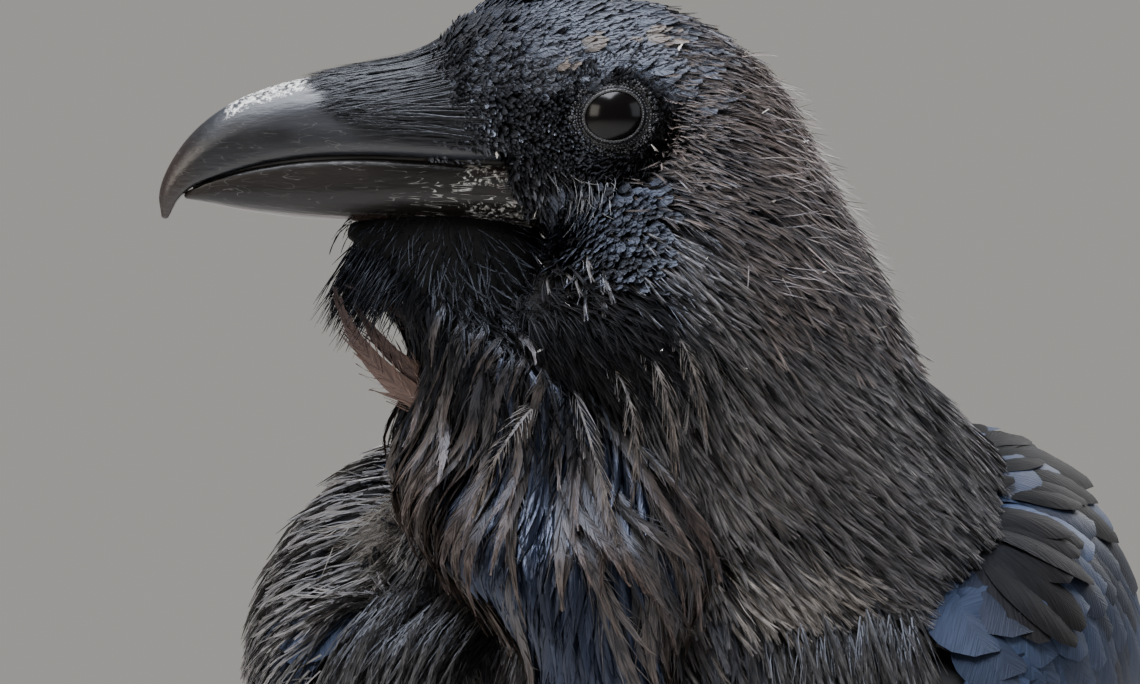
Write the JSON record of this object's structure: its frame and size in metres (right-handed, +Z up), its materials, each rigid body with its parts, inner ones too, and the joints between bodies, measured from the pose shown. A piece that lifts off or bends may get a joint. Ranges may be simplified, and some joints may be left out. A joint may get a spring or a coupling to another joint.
{
  "type": "raven",
  "caption": "Large black songbird standing at rest, head turned to its right, with a deep arched bill, shaggy throat, folded wings and a wedge tail, as a still life-size model.",
  "frame": {"origin": "on the floor under the middle of the bird's bounding box", "axes": "-Y the way the body faces, +X the bird's left side, +Z up"},
  "size_m": [0.189, 0.4652, 0.4001],
  "materials": {
    "plumage": "soft black body feathers, worn brown at their tips",
    "flight_plumage": "firm glossy blue-black wing and tail feathers",
    "horn": "satin grey-black horn, finely scratched",
    "leg_scale": "matt black scaled skin",
    "eye": "wet dark brown"
  },
  "bodies": {
    "root": {"bill_lower": "horn", "bill_upper": "horn", "breast": "plumage", "claw_left_1": "horn", "claw_left_2": "horn", "claw_left_3": "horn", "claw_left_4": "horn", "claw_right_1": "horn", "claw_right_2": "horn", "claw_right_3": "horn", "claw_right_4": "horn", "eye_left": "eye", "eye_right": "eye", "foot_left": "leg_scale", "foot_right": "leg_scale", "head": "plumage", "nasal_bristles": "plumage", "neck_lower": "plumage", "neck_upper": "plumage", "rump": "plumage", "tail": "flight_plumage", "tarsus_left": "leg_scale", "tarsus_right": "leg_scale", "thigh_left": "plumage", "thigh_right": "plumage", "throat_hackles": "plumage", "trunk": "plumage", "wing_left_coverts": "flight_plumage", "wing_left_primaries": "flight_plumage", "wing_left_secondaries": "flight_plumage", "wing_right_coverts": "flight_plumage", "wing_right_primaries": "flight_plumage", "wing_right_secondaries": "flight_plumage"}
  },
  "joints": []
}
